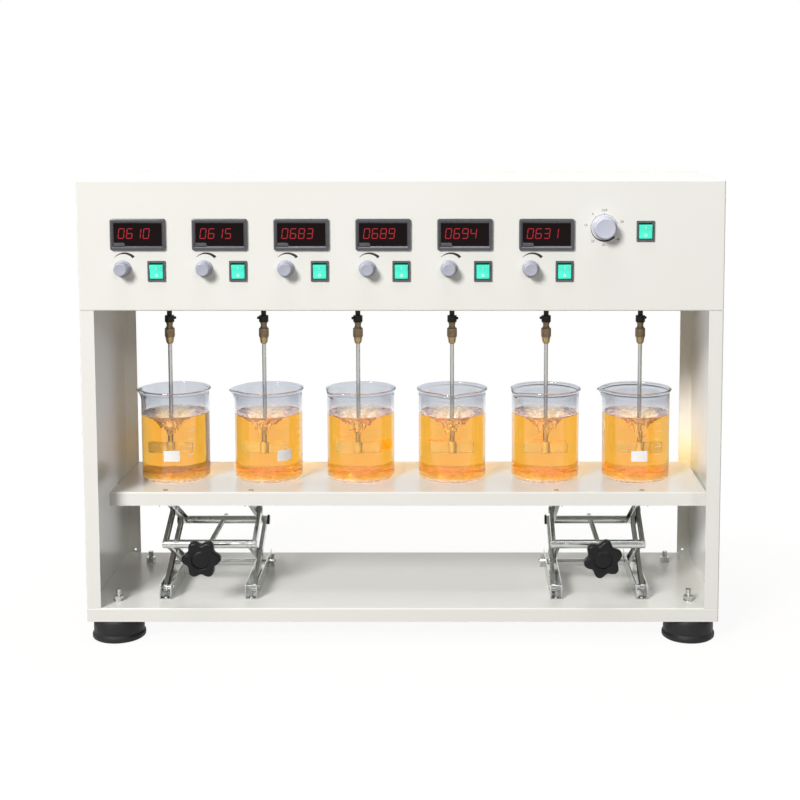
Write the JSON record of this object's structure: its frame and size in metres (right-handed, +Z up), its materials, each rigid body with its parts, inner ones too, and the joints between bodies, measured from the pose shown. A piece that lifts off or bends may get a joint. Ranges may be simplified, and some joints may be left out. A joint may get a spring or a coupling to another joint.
{
  "type": "jar tester",
  "caption": "Bench jar tester: folded steel frame, header with speed meters, knobs and switches, stirrers in glass beakers on a shelf raised by two scissor jacks.",
  "frame": {"origin": "on the floor, at the middle of the bounding box seen from above", "axes": "+X to the right seen from the front, +Y to the back, +Z up"},
  "size_m": [0.95, 0.304, 0.699],
  "materials": {
    "painted_steel": "cream powder coat, fine texture, satin",
    "zinc_plated_steel": "bright zinc plate, slightly blue, with handling marks",
    "motor_enamel": "black enamel, satin",
    "circuit_board": "green solder mask",
    "core_steel": "varnished laminations",
    "black_plastic": "moulded black phenolic and nylon",
    "dark_grey_plastic": "moulded dark grey ABS",
    "smoked_acrylic": "smoked red filter, glossy",
    "nickel_plate": "nickel plate",
    "black_rubber": "moulded black rubber",
    "stainless_steel": "ground stainless steel, with a bronzed chuck",
    "borosilicate_glass": "clear blown glass",
    "grey_knob_plastic": "moulded light grey ABS",
    "green_lens": "lit green polycarbonate"
  },
  "bodies": {
    "frame": {"base_pan": "painted_steel", "left_column": "painted_steel", "right_column": "painted_steel", "control_panel": "painted_steel", "header_cover": "painted_steel", "motor_deck": "zinc_plated_steel", "motors": "motor_enamel", "speed_boards": "circuit_board", "power_supply": "core_steel", "power_inlet": "black_plastic", "meter_cases": "dark_grey_plastic", "meter_windows": "smoked_acrylic", "switch_frames": "dark_grey_plastic", "potentiometers": "nickel_plate", "timer_mechanism": "black_plastic", "feet": "black_rubber", "foot_studs": "zinc_plated_steel", "jack_base_rails": "zinc_plated_steel"},
    "shelf": {"shelf": "painted_steel", "jack_top_rails": "zinc_plated_steel"},
    "left_jack_lower_fixed": {"left_jack_lower_fixed_arms": "zinc_plated_steel"},
    "left_jack_lower_sliding": {"left_jack_lower_sliding_arms": "zinc_plated_steel"},
    "left_jack_upper_fixed": {"left_jack_upper_fixed_arms": "zinc_plated_steel"},
    "left_jack_upper_sliding": {"left_jack_upper_sliding_arms": "zinc_plated_steel"},
    "left_jack_front_tube": {"left_jack_front_tube": "zinc_plated_steel"},
    "left_jack_rear_bar": {"left_jack_rear_bar": "zinc_plated_steel"},
    "left_jack_screw": {"left_jack_screw": "black_plastic"},
    "right_jack_lower_fixed": {"right_jack_lower_fixed_arms": "zinc_plated_steel"},
    "right_jack_lower_sliding": {"right_jack_lower_sliding_arms": "zinc_plated_steel"},
    "right_jack_upper_fixed": {"right_jack_upper_fixed_arms": "zinc_plated_steel"},
    "right_jack_upper_sliding": {"right_jack_upper_sliding_arms": "zinc_plated_steel"},
    "right_jack_front_tube": {"right_jack_front_tube": "zinc_plated_steel"},
    "right_jack_rear_bar": {"right_jack_rear_bar": "zinc_plated_steel"},
    "right_jack_screw": {"right_jack_screw": "black_plastic"},
    "stirrer_1": {"stirrer_1": "stainless_steel"},
    "beaker_1": {"beaker_1": "borosilicate_glass"},
    "stirrer_2": {"stirrer_2": "stainless_steel"},
    "beaker_2": {"beaker_2": "borosilicate_glass"},
    "stirrer_3": {"stirrer_3": "stainless_steel"},
    "beaker_3": {"beaker_3": "borosilicate_glass"},
    "stirrer_4": {"stirrer_4": "stainless_steel"},
    "beaker_4": {"beaker_4": "borosilicate_glass"},
    "stirrer_5": {"stirrer_5": "stainless_steel"},
    "beaker_5": {"beaker_5": "borosilicate_glass"},
    "stirrer_6": {"stirrer_6": "stainless_steel"},
    "beaker_6": {"beaker_6": "borosilicate_glass"},
    "speed_knob_1": {"speed_knob_1": "grey_knob_plastic"},
    "rocker_1": {"rocker_1": "green_lens"},
    "speed_knob_2": {"speed_knob_2": "grey_knob_plastic"},
    "rocker_2": {"rocker_2": "green_lens"},
    "speed_knob_3": {"speed_knob_3": "grey_knob_plastic"},
    "rocker_3": {"rocker_3": "green_lens"},
    "speed_knob_4": {"speed_knob_4": "grey_knob_plastic"},
    "rocker_4": {"rocker_4": "green_lens"},
    "speed_knob_5": {"speed_knob_5": "grey_knob_plastic"},
    "rocker_5": {"rocker_5": "green_lens"},
    "speed_knob_6": {"speed_knob_6": "grey_knob_plastic"},
    "rocker_6": {"rocker_6": "green_lens"},
    "timer_knob": {"timer_knob": "grey_knob_plastic"},
    "power_rocker": {"power_rocker": "green_lens"}
  },
  "joints": [
    {"name": "left_jack_lift", "type": "hinge", "parent": "frame", "child": "left_jack_lower_fixed", "pos_m": [-0.299, -0.069, 0.067], "axis": [1, 0, 0], "range_deg": [-18.86, 4.34]},
    {"name": "left_jack_lower_cross", "type": "hinge", "parent": "left_jack_lower_fixed", "child": "left_jack_lower_sliding", "pos_m": [-0.299, -0.00142, 0.10123], "axis": [1, 0, 0], "range_deg": [-8.77, 37.83]},
    {"name": "left_jack_middle_hinge", "type": "hinge", "parent": "left_jack_lower_fixed", "child": "left_jack_upper_fixed", "pos_m": [-0.299, 0.06615, 0.13546], "axis": [1, 0, 0], "range_deg": [-8.77, 37.83]},
    {"name": "left_jack_upper_cross", "type": "hinge", "parent": "left_jack_upper_fixed", "child": "left_jack_upper_sliding", "pos_m": [-0.299, -0.00142, 0.16969], "axis": [1, 0, 0], "range_deg": [-37.83, 8.77]},
    {"name": "left_jack_tube_hinge", "type": "hinge", "parent": "left_jack_lower_sliding", "child": "left_jack_front_tube", "pos_m": [-0.299, -0.069, 0.13546], "axis": [1, 0, 0], "range_deg": [-18.91, 4.39]},
    {"name": "left_jack_bar_hinge", "type": "hinge", "parent": "left_jack_lower_fixed", "child": "left_jack_rear_bar", "pos_m": [-0.299, 0.06615, 0.13546], "axis": [1, 0, 0], "range_deg": [-4.39, 18.91]},
    {"name": "shelf_hinge", "type": "hinge", "parent": "left_jack_upper_fixed", "child": "shelf", "pos_m": [-0.299, -0.069, 0.20391], "axis": [1, 0, 0], "range_deg": [-18.91, 4.39]},
    {"name": "left_jack_screw_turn", "type": "hinge", "parent": "left_jack_front_tube", "child": "left_jack_screw", "pos_m": [-0.299, -0.069, 0.13546], "axis": [0, 1, 0], "range_deg": [-2999.04, 695.65]},
    {"name": "right_jack_lift", "type": "hinge", "parent": "frame", "child": "right_jack_lower_fixed", "pos_m": [0.299, -0.069, 0.067], "axis": [1, 0, 0], "range_deg": [-18.91, 4.39]},
    {"name": "right_jack_lower_cross", "type": "hinge", "parent": "right_jack_lower_fixed", "child": "right_jack_lower_sliding", "pos_m": [0.299, -0.00142, 0.10123], "axis": [1, 0, 0], "range_deg": [-8.77, 37.83]},
    {"name": "right_jack_middle_hinge", "type": "hinge", "parent": "right_jack_lower_fixed", "child": "right_jack_upper_fixed", "pos_m": [0.299, 0.06615, 0.13546], "axis": [1, 0, 0], "range_deg": [-8.77, 37.83]},
    {"name": "right_jack_upper_cross", "type": "hinge", "parent": "right_jack_upper_fixed", "child": "right_jack_upper_sliding", "pos_m": [0.299, -0.00142, 0.16969], "axis": [1, 0, 0], "range_deg": [-37.83, 8.77]},
    {"name": "right_jack_tube_hinge", "type": "hinge", "parent": "right_jack_lower_sliding", "child": "right_jack_front_tube", "pos_m": [0.299, -0.069, 0.13546], "axis": [1, 0, 0], "range_deg": [-18.91, 4.39]},
    {"name": "right_jack_bar_hinge", "type": "hinge", "parent": "right_jack_lower_fixed", "child": "right_jack_rear_bar", "pos_m": [0.299, 0.06615, 0.13546], "axis": [1, 0, 0], "range_deg": [-4.39, 18.91]},
    {"name": "right_jack_screw_turn", "type": "hinge", "parent": "right_jack_front_tube", "child": "right_jack_screw", "pos_m": [0.299, -0.069, 0.13546], "axis": [0, 1, 0], "range_deg": [-2999.04, 695.65]},
    {"name": "stirrer_1_spin", "type": "hinge", "parent": "frame", "child": "stirrer_1", "pos_m": [-0.36875, 0.004, 0.506], "axis": [0, 0, 1], "continuous": true},
    {"name": "beaker_1_lift", "type": "slide", "parent": "shelf", "child": "beaker_1", "axis": [0, 0, 1], "range_m": [0, 0.015]},
    {"name": "stirrer_2_spin", "type": "hinge", "parent": "frame", "child": "stirrer_2", "pos_m": [-0.22125, 0.004, 0.506], "axis": [0, 0, 1], "continuous": true},
    {"name": "beaker_2_lift", "type": "slide", "parent": "shelf", "child": "beaker_2", "axis": [0, 0, 1], "range_m": [0, 0.015]},
    {"name": "stirrer_3_spin", "type": "hinge", "parent": "frame", "child": "stirrer_3", "pos_m": [-0.07375, 0.004, 0.506], "axis": [0, 0, 1], "continuous": true},
    {"name": "beaker_3_lift", "type": "slide", "parent": "shelf", "child": "beaker_3", "axis": [0, 0, 1], "range_m": [0, 0.015]},
    {"name": "stirrer_4_spin", "type": "hinge", "parent": "frame", "child": "stirrer_4", "pos_m": [0.07375, 0.004, 0.506], "axis": [0, 0, 1], "continuous": true},
    {"name": "beaker_4_lift", "type": "slide", "parent": "shelf", "child": "beaker_4", "axis": [0, 0, 1], "range_m": [0, 0.015]},
    {"name": "stirrer_5_spin", "type": "hinge", "parent": "frame", "child": "stirrer_5", "pos_m": [0.22125, 0.004, 0.506], "axis": [0, 0, 1], "continuous": true},
    {"name": "beaker_5_lift", "type": "slide", "parent": "shelf", "child": "beaker_5", "axis": [0, 0, 1], "range_m": [0, 0.015]},
    {"name": "stirrer_6_spin", "type": "hinge", "parent": "frame", "child": "stirrer_6", "pos_m": [0.36875, 0.004, 0.506], "axis": [0, 0, 1], "continuous": true},
    {"name": "beaker_6_lift", "type": "slide", "parent": "shelf", "child": "beaker_6", "axis": [0, 0, 1], "range_m": [0, 0.015]},
    {"name": "speed_knob_1_turn", "type": "hinge", "parent": "frame", "child": "speed_knob_1", "pos_m": [-0.4093, -0.131, 0.569], "axis": [0, 1, 0], "range_deg": [-140, 140]},
    {"name": "speed_knob_2_turn", "type": "hinge", "parent": "frame", "child": "speed_knob_2", "pos_m": [-0.2895, -0.131, 0.569], "axis": [0, 1, 0], "range_deg": [-140, 140]},
    {"name": "speed_knob_3_turn", "type": "hinge", "parent": "frame", "child": "speed_knob_3", "pos_m": [-0.1697, -0.131, 0.569], "axis": [0, 1, 0], "range_deg": [-140, 140]},
    {"name": "speed_knob_4_turn", "type": "hinge", "parent": "frame", "child": "speed_knob_4", "pos_m": [-0.0499, -0.131, 0.569], "axis": [0, 1, 0], "range_deg": [-140, 140]},
    {"name": "speed_knob_5_turn", "type": "hinge", "parent": "frame", "child": "speed_knob_5", "pos_m": [0.0699, -0.131, 0.569], "axis": [0, 1, 0], "range_deg": [-140, 140]},
    {"name": "speed_knob_6_turn", "type": "hinge", "parent": "frame", "child": "speed_knob_6", "pos_m": [0.1897, -0.131, 0.569], "axis": [0, 1, 0], "range_deg": [-140, 140]},
    {"name": "timer_knob_turn", "type": "hinge", "parent": "frame", "child": "timer_knob", "pos_m": [0.2976, -0.131, 0.629], "axis": [0, 1, 0], "range_deg": [-45, 285]},
    {"name": "rocker_1_tilt", "type": "hinge", "parent": "frame", "child": "rocker_1", "pos_m": [-0.3593, -0.1328, 0.565], "axis": [1, 0, 0], "range_deg": [-18, 0]},
    {"name": "rocker_2_tilt", "type": "hinge", "parent": "frame", "child": "rocker_2", "pos_m": [-0.2395, -0.1328, 0.565], "axis": [1, 0, 0], "range_deg": [-18, 0]},
    {"name": "rocker_3_tilt", "type": "hinge", "parent": "frame", "child": "rocker_3", "pos_m": [-0.1197, -0.1328, 0.565], "axis": [1, 0, 0], "range_deg": [-18, 0]},
    {"name": "rocker_4_tilt", "type": "hinge", "parent": "frame", "child": "rocker_4", "pos_m": [0.0001, -0.1328, 0.565], "axis": [1, 0, 0], "range_deg": [-18, 0]},
    {"name": "rocker_5_tilt", "type": "hinge", "parent": "frame", "child": "rocker_5", "pos_m": [0.1199, -0.1328, 0.565], "axis": [1, 0, 0], "range_deg": [-18, 0]},
    {"name": "rocker_6_tilt", "type": "hinge", "parent": "frame", "child": "rocker_6", "pos_m": [0.2397, -0.1328, 0.565], "axis": [1, 0, 0], "range_deg": [-18, 0]},
    {"name": "power_rocker_tilt", "type": "hinge", "parent": "frame", "child": "power_rocker", "pos_m": [0.358, -0.1328, 0.624], "axis": [1, 0, 0], "range_deg": [-18, 0]}
  ],
  "couplings": [
    {"joint": "left_jack_lower_cross", "follows": "left_jack_lift", "ratio": -2},
    {"joint": "left_jack_middle_hinge", "follows": "left_jack_lift", "ratio": -2},
    {"joint": "left_jack_upper_cross", "follows": "left_jack_lift", "ratio": 2},
    {"joint": "left_jack_tube_hinge", "follows": "left_jack_lift", "ratio": 1},
    {"joint": "left_jack_bar_hinge", "follows": "left_jack_lift", "ratio": -1},
    {"joint": "shelf_hinge", "follows": "left_jack_lift", "ratio": 1},
    {"joint": "left_jack_screw_turn", "follows": "left_jack_lift", "ratio": 158.57},
    {"joint": "right_jack_lift", "follows": "left_jack_lift", "ratio": 1},
    {"joint": "right_jack_lower_cross", "follows": "left_jack_lift", "ratio": -2},
    {"joint": "right_jack_middle_hinge", "follows": "left_jack_lift", "ratio": -2},
    {"joint": "right_jack_upper_cross", "follows": "left_jack_lift", "ratio": 2},
    {"joint": "right_jack_tube_hinge", "follows": "left_jack_lift", "ratio": 1},
    {"joint": "right_jack_bar_hinge", "follows": "left_jack_lift", "ratio": -1},
    {"joint": "right_jack_screw_turn", "follows": "left_jack_lift", "ratio": 158.57}
  ]
}
